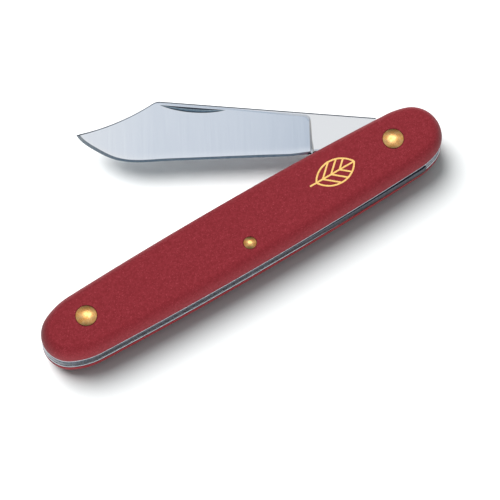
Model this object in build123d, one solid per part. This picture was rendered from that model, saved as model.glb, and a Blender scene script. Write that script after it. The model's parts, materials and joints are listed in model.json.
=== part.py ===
from build123d import *
import os
from math import asin, atan2, cos, degrees, radians, sin, sqrt, tan

# Folding grafting knife, millimetres.  X runs along the handle with the pivot end at +X, the blade
# opens on the +Y side, the spring lies along the -Y side, and Z is up.  The origin is on the
# pivot axis, in the plane of the back scale's flat outer face.  The two large rivets stand on the
# X axis, a little nearer the blade side than the middle of the handle.

# Handle outline
handle_length = 99.2
handle_width = 16.0
pivot_inset = 11.3           # from the handle's nose to the pivot axis
end_rivet_inset = 10.7       # from the handle's tail to the end rivet
nose_blunting = 1.4          # how much smaller the nose radius is than half the width
tail_blunting = 1.9          # the same at the tail
shoulder_radius = 16.0       # between each end and the sides
side_bow = 1.29              # how far the sides fall from the middle to the ends
rivet_line_offset = 0.45     # from the middle of the handle to the large rivets, toward the blade

# Layers, from the back to the front
scale_thickness = 4.1
liner_thickness = 0.8
slot_width = 2.5             # between the liners
edge_rounding = 2.5          # how far in from the edge the scale's elliptical rounding starts
liner_inset = 0.05           # liners stand back from the scales' edge by this much
spring_inset = 0.15          # and so does the spring, when it is down

# Rivets
large_pin_radius = 1.25
small_pin_radius = 0.75
large_head_radius = 2.28
small_head_radius = 1.4
large_head_rise = 0.55       # top of the dome above the scale
small_head_rise = 0.38
head_seat_depth = 0.5        # how deep the heads sit in the scales
head_rim_rise = 0.08         # flange around the dome, above the scale
head_rim_width = 0.24
pin_engagement = 0.3         # length of pin inside each head
pin_fit = 0.02               # radial clearance of the pins in the pieces that they hold
head_fit = 0.06              # radial clearance round each head
pivot_fit = 0.05             # radial running clearance of the blade on the pivot pin
centre_rivet_shift = 0.4     # from midway between the large rivets, toward the tail
centre_rivet_from_edge = 4.25

# Spring
spring_tip_height = 2.2      # height of the spring at the end that bears on the tang
spring_tip_reach = 4.0       # the spring ends this far past the pivot axis
boss_height = 1.5            # wall of the spring's boss above the centre rivet's axis
boss_slope_length = 7.0      # the boss runs out into the spring over this length
joint_gap = 0.12             # between the spring's root and its moving arm
arm_side_gap = 0.04          # between the arm and each liner
root_height = 3.0            # height of the spring's root strip
root_hollow_radius = 8.0     # the strip widens into the tail round this radius
tail_block_length = 16.4     # the root fills the handle's tail over this length

# Blade
tip_to_tail = 19.2           # from the closed blade's tip to the handle's tail, along the blade
blade_side_gap = 0.05        # between the blade and each liner
rest_angle = 150.56          # direction of the cutting edge at rest, from +X
edge_offset = 0.66           # the cutting edge runs this far from the pivot axis
edge_clearance = 0.5         # between the closed cutting edge and the spring's boss
tip_offset = 6.25            # the tip lies this far from the pivot axis, on the spine side
spine_slope = 7.07           # degrees between spine and cutting edge
spine_step_back = 0.82       # the open spine lies this far inside the handle's edge at the pivot
clip_length = 17.7           # from the spine's corner to the tip
clip_hollow = 0.9            # how deep the clip's curve is
cam_drop = 0.4               # the tang's flats lie this far inside its round
cam_gap = 0.05               # between tang and spring
stop_gap = 0.1               # between the open stop and the spring's end
kick_reach = 5.0             # the closed flat runs this far toward the blade
ricasso_offset = 0.35        # edge side of the ricasso, measured like the cutting edge
plunge_position = 17.3       # where the ground faces begin
belly_length = 20.0          # the cutting edge starts to curve this far from the tip
belly_points = ((8.1, 0.2), (4.2, 2.3))   # on the belly: back from the tip, in from the pivot axis
tip_direction = (0.45, -0.9) # of the belly where it meets the tip
spine_strip = 0.5            # unground strip below the spine
edge_half_thickness = 0.2    # where the ground faces meet the cutting bevel
tip_half_thickness = 0.45    # of the ground faces, up at the line of the spine, at the tip
bevel_angle = 26.0
bevel_flat = 0.02            # what is left of the thickness at the very edge, each side

# Nail nick
nick_length = 15.3
nick_depth = 0.58
nick_slope = 22.0
nick_from_corner = 0.5       # along the spine, from its corner to the end of the nick
nick_below_spine = 0.9

# Leaf inlay
leaf_from_pivot = 14.8
leaf_length = 9.6
leaf_width = 5.6
leaf_line = 0.42
leaf_stem = 1.6
leaf_vein_angle = 42.0
leaf_vein_pairs = 3
first_vein = 0.75            # from the leaf's base, in steps from vein to vein
vein_room = 1.5              # steps free of veins, at both ends together
inlay_depth = 0.15
inlay_rise = 0.03
inlay_fit = 0.01

overreach = 1.0              # cutting shapes reach this far past what they cut

# Derived places
half_width = handle_width / 2
middle_y = -rivet_line_offset
spring_side_y = middle_y - half_width
nose_x = pivot_inset
tail_x = pivot_inset - handle_length
end_rivet_x = tail_x + end_rivet_inset
centre_rivet_x = end_rivet_x / 2 - centre_rivet_shift
centre_rivet_y = spring_side_y + centre_rivet_from_edge
nose_radius = half_width - nose_blunting
tail_radius = half_width - tail_blunting
side_radius = (handle_length / 2) ** 2 / (2 * side_bow)
back_liner_z = scale_thickness
slot_z = back_liner_z + liner_thickness
front_liner_z = slot_z + slot_width
front_scale_z = front_liner_z + liner_thickness
front_z = front_scale_z + scale_thickness
blade_length = handle_length - pivot_inset - tip_to_tail
blade_thickness = slot_width - 2 * blade_side_gap


def shoulder_centre(end_x, end_radius, toward):
    """Centre of the circle that touches the upper side arc and one end arc from inside."""
    side = Vector((nose_x + tail_x) / 2, half_width - side_radius)
    end = Vector(end_x, 0)
    to_side = side - end
    span = to_side.length
    near = shoulder_radius - end_radius
    far = side_radius - shoulder_radius
    along = (near ** 2 - far ** 2 + span ** 2) / (2 * span)
    across = sqrt(near ** 2 - along ** 2)
    direction = to_side.normalized()
    normal = Vector(direction.Y, -direction.X)
    if normal.X * toward < 0:
        normal = normal * -1
    return end + direction * along + normal * across


def heading(start, end):
    """Direction from one point to another, in degrees."""
    return degrees(atan2(end.Y - start.Y, end.X - start.X))


def outline_arcs():
    """The handle's outline as (centre x, centre y, radius, start angle, sweep), anticlockwise."""
    nose = Vector(nose_x - nose_radius, 0)
    tail = Vector(tail_x + tail_radius, 0)
    side = Vector((nose_x + tail_x) / 2, half_width - side_radius)
    front = shoulder_centre(nose.X, nose_radius, -1)
    rear = shoulder_centre(tail.X, tail_radius, 1)
    turns = [heading(front, nose), heading(side, front), heading(side, rear), heading(rear, tail)]
    upper = [
        (front.X, front.Y, shoulder_radius, turns[0], turns[1]),
        (side.X, side.Y, side_radius, turns[1], turns[2]),
        (rear.X, rear.Y, shoulder_radius, turns[2], turns[3]),
    ]
    arcs = [(nose.X, middle_y, nose_radius, -turns[0], 2 * turns[0])]
    for x, y, radius, start, stop in upper:
        arcs.append((x, middle_y + y, radius, start, stop - start))
    arcs.append((tail.X, middle_y, tail_radius, turns[3], 360 - 2 * turns[3]))
    for x, y, radius, start, stop in reversed(upper):
        arcs.append((x, middle_y - y, radius, -stop, stop - start))
    return arcs


def spring_side_at(x):
    """How far the handle's edge on the spring side is from the X axis, at a place along it."""
    for centre_x, centre_y, radius, start, sweep in outline_arcs()[:5]:
        if abs(x - centre_x) > radius:
            continue
        y = centre_y + sqrt(radius ** 2 - (x - centre_x) ** 2)
        angle = degrees(atan2(y - centre_y, x - centre_x)) % 360
        if (angle - start) % 360 <= sweep:
            return y - 2 * middle_y
    raise ValueError("that place is off the handle")


def handle_face(inset):
    """The handle's outline, drawn in by an inset, as a flat face."""
    edges = []
    for x, y, radius, start, sweep in outline_arcs():
        edges.append(CenterArc((x, y), radius - inset, start, sweep))
    return Face(Wire(edges))


def plate(inset, bottom, height):
    return Pos(0, 0, bottom) * extrude(handle_face(inset), amount=height)


def disc(x, y, radius, bottom, top):
    """An upright cylinder between two heights."""
    return Pos(x, y, (bottom + top) / 2) * Cylinder(radius, top - bottom)


def rivets():
    """Name, x, y, pin radius, head radius and dome height of each rivet."""
    return [
        ("pivot", 0.0, 0.0, large_pin_radius, large_head_radius, large_head_rise),
        ("centre", centre_rivet_x, centre_rivet_y, small_pin_radius, small_head_radius, small_head_rise),
        ("end", end_rivet_x, 0.0, large_pin_radius, large_head_radius, large_head_rise),
    ]


def scale_blank():
    """One handle scale standing on the XY plane, its outer edge rounded to a quarter ellipse."""
    blank = extrude(handle_face(edge_rounding), amount=scale_thickness)
    for x, y, radius, start, sweep in outline_arcs():
        inner = radius - edge_rounding
        curve = EllipticalCenterArc((inner, 0), edge_rounding, scale_thickness, 0, arc_size=90)
        base = Line((inner, 0), (radius, 0))
        wall = Line((inner, scale_thickness), (inner, 0))
        direction = radians(start)
        section_plane = Plane(
            origin=(x, y, 0),
            x_dir=(cos(direction), sin(direction), 0),
            z_dir=(sin(direction), -cos(direction), 0),
        )
        section = section_plane * Face(Wire([base, curve, wall]))
        blank += revolve(section, Axis((x, y, 0), (0, 0, 1)), sweep)
    return blank


def drilled_scale():
    """A scale with its pin holes and the seats for the rivet heads."""
    scale = scale_blank()
    seat = scale_thickness - head_seat_depth
    for _, x, y, pin_radius, head_radius, _ in rivets():
        scale -= disc(x, y, pin_radius + pin_fit, -overreach, scale_thickness + overreach)
        scale -= disc(x, y, head_radius + head_fit, seat, scale_thickness + overreach)
    return scale


def lens(bulge_radius, centre_y, height):
    """A pointed oval prism along X, where two upright cylinders overlap."""
    upper = disc(0, centre_y, bulge_radius, 0, height)
    lower = disc(0, -centre_y, bulge_radius, 0, height)
    return upper & lower


def bar(length, width, height):
    """A flat bar along +X from the Z axis."""
    return Box(length, width, height, align=(Align.MIN, Align.CENTER, Align.MIN))


def leaf_solid(growth, bottom, height):
    """Outline, midrib, veins and stem of the leaf, lying along X with its tip toward the pivot."""
    half_length = leaf_length / 2
    half_leaf = leaf_width / 2
    half_line = leaf_line / 2 + growth
    radius = (half_length ** 2 + half_leaf ** 2) / (2 * half_leaf)
    centre_y = half_leaf - radius
    outer = lens(radius + half_line, centre_y, height)
    leaf = outer - lens(radius - half_line, centre_y, height)
    leaf += Pos(-half_length - leaf_stem - growth, 0) * bar(leaf_length + leaf_stem, 2 * half_line, height)
    vein_step = leaf_length / (leaf_vein_pairs + vein_room)
    for index in range(leaf_vein_pairs):
        foot = vein_step * (index + first_vein) - half_length
        for side in (1, -1):
            vein = Pos(foot, 0) * Rot(0, 0, side * leaf_vein_angle) * bar(leaf_width, 2 * half_line, height)
            leaf += vein & outer
    return Pos(-leaf_from_pivot, 0, bottom) * leaf


def front_scale():
    scale = Pos(0, 0, front_scale_z) * drilled_scale()
    return scale - leaf_solid(inlay_fit, front_z - inlay_depth, inlay_depth + overreach)


def back_scale():
    return Pos(0, 0, scale_thickness) * mirror(drilled_scale(), Plane.XY)


def leaf_inlay():
    return leaf_solid(0, front_z - inlay_depth, inlay_depth + inlay_rise)


def liner(bottom):
    """A steel liner with its three pin holes."""
    sheet = plate(liner_inset, bottom, liner_thickness)
    for _, x, y, pin_radius, _, _ in rivets():
        sheet -= disc(x, y, pin_radius + pin_fit, bottom - overreach, bottom + liner_thickness + overreach)
    return sheet


def rivet_pin(x, y, radius):
    bottom = head_seat_depth - pin_engagement
    top = front_z - head_seat_depth + pin_engagement
    return disc(x, y, radius, bottom, top)


def rivet_head(pin_radius, head_radius, rise):
    """A domed head with a thin flange, standing on its seat at the origin, with a bore for the pin."""
    dome_radius = head_radius - head_rim_width
    rim = head_seat_depth + head_rim_rise
    top = head_seat_depth + rise
    sphere_radius = (dome_radius ** 2 + (top - rim) ** 2) / (2 * (top - rim))
    half_way = dome_radius / 2
    crown = top - sphere_radius + sqrt(sphere_radius ** 2 - half_way ** 2)
    sides = Polyline((0, top), (0, 0), (head_radius, 0), (head_radius, rim), (dome_radius, rim))
    dome = ThreePointArc((dome_radius, rim), (half_way, crown), (0, top))
    section = Plane.XZ * Face(Wire(sides.edges() + dome.edges()))
    head = revolve(section, Axis.Z)
    return head - disc(0, 0, pin_radius + pin_fit, -overreach, pin_engagement)


def front_head(x, y, pin_radius, head_radius, rise):
    return Pos(x, y, front_z - head_seat_depth) * rivet_head(pin_radius, head_radius, rise)


def back_head(x, y, pin_radius, head_radius, rise):
    head = mirror(rivet_head(pin_radius, head_radius, rise), Plane.XY)
    return Pos(x, y, head_seat_depth) * head


# Spring: the arm is drawn down on the tang's flats, then lifted onto the tang's round.
arm_inner_y = -(spring_side_at(spring_tip_reach) - spring_inset - spring_tip_height)
boss_inner_y = centre_rivet_y + boss_height
joint_radius = spring_side_at(centre_rivet_x) + centre_rivet_y - spring_inset
flat_distance = -arm_inner_y - cam_gap
tang_radius = flat_distance + cam_drop
lift_angle = degrees(asin(cam_drop / -centre_rivet_x))


def strip_above(points):
    """A tall face above a line of points, for cutting the inner edge of the spring."""
    top = handle_width
    edge = Polyline(points)
    first, last = points[0], points[-1]
    cap = Polyline(last, (last[0], top), (first[0], top), first)
    return Face(Wire(edge.edges() + cap.edges()))


def spring_arm():
    """The spring's free arm, from the centre rivet to the tang."""
    far_x = spring_tip_reach - stop_gap
    bottom = slot_z + arm_side_gap
    height = slot_width - 2 * arm_side_gap
    profile = handle_face(spring_inset)
    boss_left = centre_rivet_x - joint_radius - overreach
    slope_start = centre_rivet_x + small_pin_radius
    slope_end = slope_start + boss_slope_length
    profile -= strip_above(
        [
            (boss_left, boss_inner_y),
            (slope_start, boss_inner_y),
            (slope_end, arm_inner_y),
            (nose_x + overreach, arm_inner_y),
        ]
    )
    reach = far_x - centre_rivet_x
    window = Pos(centre_rivet_x + reach / 2, -half_width) * Rectangle(reach, handle_width)
    round_end = Pos(centre_rivet_x, centre_rivet_y) * Circle(joint_radius)
    profile &= window + round_end
    arm = Pos(0, 0, bottom) * extrude(profile, amount=height)
    arm -= disc(centre_rivet_x, centre_rivet_y, small_pin_radius + pivot_fit, 0, front_z)
    hinge = Pos(centre_rivet_x, centre_rivet_y)
    return hinge * Rot(0, 0, -lift_angle) * Pos(-centre_rivet_x, -centre_rivet_y) * arm


def spring_root():
    """The held part of the spring: a strip along the back that widens to fill the tail."""
    block_x = tail_x + tail_block_length
    strip_y = spring_side_y + spring_inset + root_height
    profile = handle_face(spring_inset)
    hollow = root_hollow_radius
    straight_x = block_x + hollow + handle_length / 2
    well = Pos(block_x + hollow, strip_y + hollow) * Circle(hollow)
    well += Pos(straight_x, strip_y + hollow) * Rectangle(handle_length, 2 * hollow)
    above = Pos(block_x + handle_length / 2, strip_y + 2 * hollow) * Rectangle(handle_length, 2 * hollow)
    profile -= well + above
    nose_side = Pos(centre_rivet_x + handle_length / 2, 0) * Rectangle(handle_length, 2 * handle_width)
    profile -= nose_side
    profile -= Pos(centre_rivet_x, centre_rivet_y) * Circle(joint_radius + joint_gap)
    root = Pos(0, 0, slot_z) * extrude(profile, amount=slot_width)
    return root - disc(end_rivet_x, 0, large_pin_radius + pin_fit, 0, front_z)


# Blade, drawn pointing along +X with its cutting edge toward +Y and its spine toward -Y.
half_blade = blade_thickness / 2
spine_offset = spring_side_at(0) - spine_step_back
spine_line = Vector(cos(radians(spine_slope)), -sin(radians(spine_slope)))
spine_out = Vector(-sin(radians(spine_slope)), -cos(radians(spine_slope)))
closed_lean = degrees(asin((-boss_inner_y - edge_offset - edge_clearance) / -centre_rivet_x))
flat_half_angle = degrees(atan2(sqrt(tang_radius ** 2 - flat_distance ** 2), flat_distance))
corner_x = blade_length - clip_length


def spine_point(along, out):
    """A point given along the spine's direction and out from the pivot toward the spine."""
    return spine_line * along + spine_out * out


def polar(radius, angle):
    return Vector(radius * cos(radians(angle)), radius * sin(radians(angle)))


def spine_y(x, out):
    """Y of a line parallel to the spine, at a distance out from the pivot."""
    return -(out / cos(radians(spine_slope)) + x * tan(radians(spine_slope)))


def belly_edge():
    """The cutting edge: straight, then curving up to the tip."""
    heel = Vector(plunge_position, edge_offset)
    belly = Vector(blade_length - belly_length, edge_offset)
    tip = Vector(blade_length, -tip_offset)
    straight = Line(heel, belly)
    between = [Vector(blade_length - back, -rise) for back, rise in belly_points]
    curve = Spline(belly, *between, tip, tangents=[(1, 0), tip_direction])
    return straight, curve


def blade_outline():
    """The whole side view of the blade, with its tang."""
    closed_normal = 90 - closed_lean
    open_normal = -90 - spine_slope
    closed_out = polar(1, closed_normal)
    closed_along = Vector(closed_out.Y, -closed_out.X)
    round_end = polar(tang_radius, closed_normal + flat_half_angle)
    round_start = polar(tang_radius, open_normal - flat_half_angle)
    round_middle = polar(tang_radius, 180)
    shoulder_in = spine_point(spring_tip_reach, flat_distance)
    shoulder_out = spine_point(spring_tip_reach, spine_offset)
    corner = Vector(corner_x, spine_y(corner_x, spine_offset))
    tip = Vector(blade_length, -tip_offset)
    kick = closed_out * flat_distance + closed_along * kick_reach
    ricasso = Vector((kick_reach + plunge_position) / 2, ricasso_offset)
    straight, curve = belly_edge()
    clip_middle = (corner + tip) * 0.5
    clip_normal = Vector(tip.Y - corner.Y, corner.X - tip.X).normalized()
    clip_side = Vector(-clip_normal.X, -clip_normal.Y) if clip_normal.Y < 0 else clip_normal
    edges = [
        Line(shoulder_out, corner),
        ThreePointArc(corner, clip_middle + clip_side * clip_hollow, tip),
        curve,
        straight,
        Line(Vector(plunge_position, edge_offset), ricasso),
        Line(ricasso, kick),
        Line(kick, round_end),
        ThreePointArc(round_end, round_middle, round_start),
        Line(round_start, shoulder_in),
        Line(shoulder_in, shoulder_out),
    ]
    return Face(Wire(edges))


def ground_cutter():
    """What the grinding takes off the front of the blade, from the plunge line to the tip."""
    stations = [
        (plunge_position, half_blade),
        (corner_x, half_blade),
        (blade_length + overreach, tip_half_thickness),
    ]
    sections = []
    for x, top_half in stations:
        top_y = spine_y(x, spine_offset - spine_strip)
        slope = (top_half - edge_half_thickness) / (edge_offset - top_y)
        low_y = edge_offset + overreach
        low_half = edge_half_thickness - slope * overreach
        lid = half_blade + overreach
        corners = [(x, top_y, top_half), (x, low_y, low_half), (x, low_y, lid), (x, top_y, lid)]
        sections.append(Face(Wire(Polyline(corners, close=True).edges())))
    return loft(sections, ruled=True)


def bevel_cutter():
    """What sharpening takes off the front of the blade along the cutting edge."""
    straight, curve = belly_edge()
    start = straight @ 0
    reach = 3.2
    outside = 0.3
    rise = tan(radians(bevel_angle))
    low = bevel_flat - outside * rise
    high = bevel_flat + reach * rise
    points = [
        (start.X, start.Y + outside, low),
        (start.X, start.Y - reach, high),
        (start.X, start.Y + outside, high),
    ]
    section = Face(Wire(Polyline(points, close=True).edges()))
    return sweep(section, path=Wire([straight, curve]))


def nick_cutter():
    """A large tilted disc that leaves a straight upper wall and a curved lower edge."""
    slope = radians(nick_slope)
    wall = nick_depth / cos(slope)
    disc_radius = ((nick_length / 2) ** 2 + wall ** 2) / (2 * wall)
    corner_along = corner_x / cos(radians(spine_slope)) + spine_offset * tan(radians(spine_slope))
    middle_along = corner_along - nick_from_corner - nick_length / 2
    place = spine_point(middle_along, spine_offset - nick_below_spine)
    cutter = Cylinder(disc_radius, nick_length, align=(Align.CENTER, Align.CENTER, Align.MIN))
    tilted = Rot(nick_slope - 90, 0, 0) * cutter
    back = nick_depth * tan(slope) - disc_radius * sin(slope)
    lift = disc_radius * cos(slope) - nick_depth
    return Pos(place.X, place.Y, half_blade) * Rot(0, 0, -spine_slope) * Pos(0, back, lift) * tilted


def blade():
    body = Pos(0, 0, -half_blade) * extrude(blade_outline(), amount=blade_thickness)
    for cutter in (ground_cutter(), bevel_cutter()):
        body -= cutter
        body -= mirror(cutter, Plane.XY)
    body -= nick_cutter()
    body -= disc(0, 0, large_pin_radius + pivot_fit, -slot_width, slot_width)
    return Pos(0, 0, slot_z + slot_width / 2) * Rot(0, 0, rest_angle) * body


def nodes():
    """Every piece of the knife by name."""
    pieces = {
        "front_scale": front_scale(),
        "back_scale": back_scale(),
        "front_liner": liner(front_liner_z),
        "back_liner": liner(back_liner_z),
        "back_spring_root": spring_root(),
        "back_spring_arm": spring_arm(),
        "blade": blade(),
        "leaf_inlay": leaf_inlay(),
    }
    for name, x, y, pin_radius, head_radius, rise in rivets():
        pieces[name + "_pin"] = rivet_pin(x, y, pin_radius)
        pieces[name + "_head_front"] = front_head(x, y, pin_radius, head_radius, rise)
        pieces[name + "_head_back"] = back_head(x, y, pin_radius, head_radius, rise)
    return pieces


os.makedirs("parts", exist_ok=True)
for node_name, piece in nodes().items():
    export_step(piece, "parts/" + node_name + ".step")
print("blade_pivot range from rest:", rest_angle - 180 - closed_lean, "to", rest_angle - spine_slope)
print("spring hinge at:", centre_rivet_x, centre_rivet_y, "lift angle", lift_angle)
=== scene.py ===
import json
from math import atan2, ceil, cos, hypot, pi, radians, sin, sqrt, tan

import bmesh
import bpy
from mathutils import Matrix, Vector


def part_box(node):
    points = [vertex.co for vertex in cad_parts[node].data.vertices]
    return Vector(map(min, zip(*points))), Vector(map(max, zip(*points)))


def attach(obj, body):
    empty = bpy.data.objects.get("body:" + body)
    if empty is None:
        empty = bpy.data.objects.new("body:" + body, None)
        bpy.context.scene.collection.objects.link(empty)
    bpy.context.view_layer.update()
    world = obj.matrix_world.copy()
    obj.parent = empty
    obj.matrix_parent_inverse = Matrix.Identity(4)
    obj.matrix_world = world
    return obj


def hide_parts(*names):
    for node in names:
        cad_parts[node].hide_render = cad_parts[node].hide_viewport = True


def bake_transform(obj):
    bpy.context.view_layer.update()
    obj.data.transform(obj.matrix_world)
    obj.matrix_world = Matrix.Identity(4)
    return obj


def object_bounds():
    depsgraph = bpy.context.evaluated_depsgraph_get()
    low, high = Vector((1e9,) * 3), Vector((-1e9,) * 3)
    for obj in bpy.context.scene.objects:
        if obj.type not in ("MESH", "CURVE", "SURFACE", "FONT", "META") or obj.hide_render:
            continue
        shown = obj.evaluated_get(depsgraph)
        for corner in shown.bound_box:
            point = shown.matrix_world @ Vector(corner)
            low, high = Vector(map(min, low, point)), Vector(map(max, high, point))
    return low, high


# Folding grafting knife.  Sizes are in millimetres; MM turns them into Blender's metres.
# X runs along the handle toward the pivot, the blade opens on the +Y side, Z is up, and the
# origin is on the pivot axis, in the plane of the back scale's flat face.

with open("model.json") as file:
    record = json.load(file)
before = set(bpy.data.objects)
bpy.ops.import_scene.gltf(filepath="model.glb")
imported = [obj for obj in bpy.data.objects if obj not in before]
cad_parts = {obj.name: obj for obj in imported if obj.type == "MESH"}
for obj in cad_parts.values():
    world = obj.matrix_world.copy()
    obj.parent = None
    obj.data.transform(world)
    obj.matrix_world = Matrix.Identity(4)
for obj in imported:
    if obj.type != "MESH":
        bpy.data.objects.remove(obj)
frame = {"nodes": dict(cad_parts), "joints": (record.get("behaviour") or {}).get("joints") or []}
cad_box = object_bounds()
MM = 0.001


def box_mm(node):
    """The lowest and the highest corner of a CAD node, in millimetres."""
    return [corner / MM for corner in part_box(node)]


# Places that the CAD gives
scale_low, scale_high = box_mm("front_scale")
tail_x, nose_x = scale_low.x, scale_high.x
half_width = (scale_high.y - scale_low.y) / 2
middle_y = (scale_high.y + scale_low.y) / 2
front_scale_z, front_z = scale_low.z, scale_high.z
slot_z = box_mm("back_liner")[1].z
slot_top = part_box("front_liner")[0].z / MM
blade_low, blade_high = box_mm("blade")
blade_z = (blade_low.z + blade_high.z) / 2
half_blade = (blade_high.z - blade_low.z) / 2
flex = [joint for joint in frame["joints"] if joint["name"] == "spring_flex"][0]
floor_z = cad_box[0].z

# Handle outline
nose_radius = 6.6
tail_radius = 6.1
shoulder_radius = 16.0
side_bow = 1.29
edge_rounding = 2.5          # how far in from the edge the scale's elliptical rounding starts
edge_break = 0.1             # along each scale's joint with its liner
round_middle = 0.3           # share of its width at which a small rounded edge has its middle
flat_margin = 0.15           # flat ring between a scale's rounding and its flat face
liner_inset = 0.05
liner_crown = 62.0           # the liners' edges are tumbled round: degrees of slope at each face
liner_steps = 6              # of that crown, on each side of its middle
spring_inset = 0.15
seat_fit = 0.06              # round each rivet head
seat_depth = 0.5
seat_mouth = ((0.2, 0), (0.08, 0), (0.03, -0.02), (0.0, -0.08))   # (outward, up) from its edge

# Spring
spring_gap = 0.04            # to each liner
spring_end_x = 3.9
spring_arm_y = -4.95         # inner edge of the arm, when it is down
boss_y = -2.7                # inner edge of the boss round the centre rivet
boss_x = (-45.25, -42.25, -38.25, -31.25)   # along the boss: its rise, its flat and its slope
strip_y = -5.3               # inner edge of the held part
tail_block_x = -71.5
tail_room = 0.1              # between the tail block's inner face and the next outline point
tail_zone = 3.0              # length of the outline that is taken whole round the tail
hollow_radius = 8.0          # where the held part widens into the tail block
lift_angle = 0.5877          # degrees the open blade's tang holds the arm up
bend_x = (-42.0, -36.0)      # where the lifted arm bends
spring_bevel = 0.07
least_step = 0.02            # outline points closer than this become one

# Blade, drawn with x along the cutting edge from the pivot and y toward the spine
blade_angle = 150.56
blade_length = 68.7
edge_offset = 0.66
spine_slope = 7.07
spine_offset = 6.82
corner_x = 51.0
corner_rounding = 0.9        # half the length over which the spine's corner is rounded
tip_y = 6.25
clip_hollow = 0.9
belly_start = 48.7
belly_through = ((60.6, 0.2), (64.5, 2.3))
tip_direction = (0.45, 0.9)
plunge_x = 17.3
plunge_radius = 1.3
plunge_width = 0.5
plunge_extra = 0.05          # the wheel bites this much deeper next to the plunge line
plunge_fade = 12.0           # length over which that fades
heel_y = -0.28
heel_x = 18.2
heel_lead = 1.5              # the cutting edge leaves the ricasso's side this far behind the heel
heel_run = 5.0               # from the heel to where the cutting edge runs straight
spine_strip = (0.55, 0.22)   # unground strip below the spine, at the plunge line and at its end
strip_end_x = 40.0
edge_half = 0.2
tip_half = 0.45
tip_beyond = 1.0             # the thickness along the clip would end this far beyond the tip
bevel_angle = 26.0
bevel_flat = 0.02
bevel_start = (-0.2, 0.5)    # from the plunge line: where the bevel takes over from the rounding
ricasso_rounding = 0.12      # of the ricasso's lower edge
band_foot = 0.6              # height above the cutting edge of the band that flattens
band_width = 0.9             # width of that band, just above the cutting bevel
band_turn = 3.4              # degrees it flattens by
spine_chamfer = (0.38, 0.25)  # width and depth of the broken corner along the spine
tang_join_x = 11.5
shoulder_x = 4.0
tang_radius = 5.31
tang_flat = 4.91
kick_reach = 5.0
ricasso_low = (11.15, -0.35)
closed_lean = 2.26
face_rows = 16               # rows of the mesh up the ground face
strip_rows = (0.056, 0.044, 0.032, 0.021, 0.01, 0)   # more rows below the strip, from its border
chamfer_rows = 3             # rows up the broken corner along the spine
column_runs = (              # where each run of the mesh's columns ends, and their spacing
    (16.9, 0.6),
    (19.2, 0.08),
    (48.0, 0.7),
    (66.0, 0.3),
    (blade_length, 0.12),
)

# Nail nick
nick_length = 15.3
nick_depth = 0.58
nick_slope = 22.0
nick_from_corner = 0.5
nick_below_spine = 0.9
nick_hollow = (0.035, 0.088)   # rise and fall of the wheel's rim across its width
wheel_above = 2.0            # depth of the wheel's rim that is made
wheel_width = 1.7
wheel_reach = 11.0           # degrees of the wheel that are made, to each side

# Rivet heads, from the seat up
large_head = 2.28
small_head = 1.4
large_dome_top = 1.05
small_dome_top = 0.88
head_rim = 0.58
rim_width = 0.06             # rounding between the head's side and its dome

# Leaf inlay
leaf_x = -14.8
leaf_half_length = 4.8
leaf_half_width = 2.8
leaf_stem = 1.6
leaf_line = 0.42
leaf_vein_angle = 42.0
leaf_vein_pairs = 3
first_vein = 0.75            # vein spacings from the leaf's end to its first vein
vein_room = 1.5              # vein spacings without a vein, at both ends together
leaf_rise = 0.03
leaf_sunk = 0.02


def smooth_step(low, high, value):
    """0 below low, 1 above high, and a smooth rise between them."""
    t = min(max((value - low) / (high - low), 0.0), 1.0)
    return t * t * (3 - 2 * t)


def mix(a, b, share):
    return a + (b - a) * share


# ------------------------------------------------ materials

def linear(hex_colour):
    """An sRGB hex colour as linear RGBA."""
    channels = [int(hex_colour[i:i + 2], 16) / 255 for i in (1, 3, 5)]
    return [c / 12.92 if c <= 0.04045 else ((c + 0.055) / 1.055) ** 2.4 for c in channels] + [1.0]


def add(tree, kind, inputs=None, **settings):
    """Adds a node.  Settings are its properties; inputs are values or the sockets that feed it."""
    node = tree.nodes.new(kind)
    for name, value in settings.items():
        setattr(node, name, value)
    for name, value in (inputs or {}).items():
        if isinstance(value, bpy.types.NodeSocket):
            tree.links.new(value, node.inputs[name])
        else:
            node.inputs[name].default_value = value
    return node


def new_material(name):
    """An empty material, its node tree, and the object's own coordinates in it."""
    material = bpy.data.materials.new(name)
    material.use_nodes = True
    tree = material.node_tree
    tree.nodes.clear()
    place = add(tree, "ShaderNodeTexCoord").outputs["Object"]
    return material, tree, place


def with_surface(material, colour, roughness, metallic=1.0, **more):
    """The material with its surface: a metal, unless it says otherwise."""
    inputs = {"Base Color": colour, "Roughness": roughness, "Metallic": metallic}
    inputs.update({name.replace("_", " "): value for name, value in more.items()})
    shader = add(material.node_tree, "ShaderNodeBsdfPrincipled", inputs)
    output = {"Surface": shader.outputs["BSDF"]}
    add(material.node_tree, "ShaderNodeOutputMaterial", output)
    return material


def grit(tree, place, size, detail=2.0, stretch=(1, 1, 1), turn=0.0):
    """Noise with grains of a size in millimetres, stretched along the axes after a turn about Z."""
    scale = [1 / (MM * size * s) for s in stretch]
    turned = add(tree, "ShaderNodeMapping", {"Vector": place, "Rotation": (0, 0, radians(-turn))})
    grains = add(tree, "ShaderNodeMapping", {"Vector": turned.outputs["Vector"], "Scale": scale})
    inputs = {"Vector": grains.outputs["Vector"], "Scale": 1.0, "Detail": detail}
    return add(tree, "ShaderNodeTexNoise", inputs).outputs["Fac"]


def relief(tree, height, strength, depth):
    """A fine relief, its depth in millimetres."""
    inputs = {"Height": height, "Strength": strength, "Distance": depth * MM}
    return add(tree, "ShaderNodeBump", inputs).outputs["Normal"]


def spread(tree, value, low, high, to_low, to_high):
    """Stretches part of a value's range to new ends."""
    names = ("Value", "From Min", "From Max", "To Min", "To Max")
    inputs = dict(zip(names, (value, low, high, to_low, to_high)))
    return add(tree, "ShaderNodeMapRange", inputs).outputs["Result"]


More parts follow.
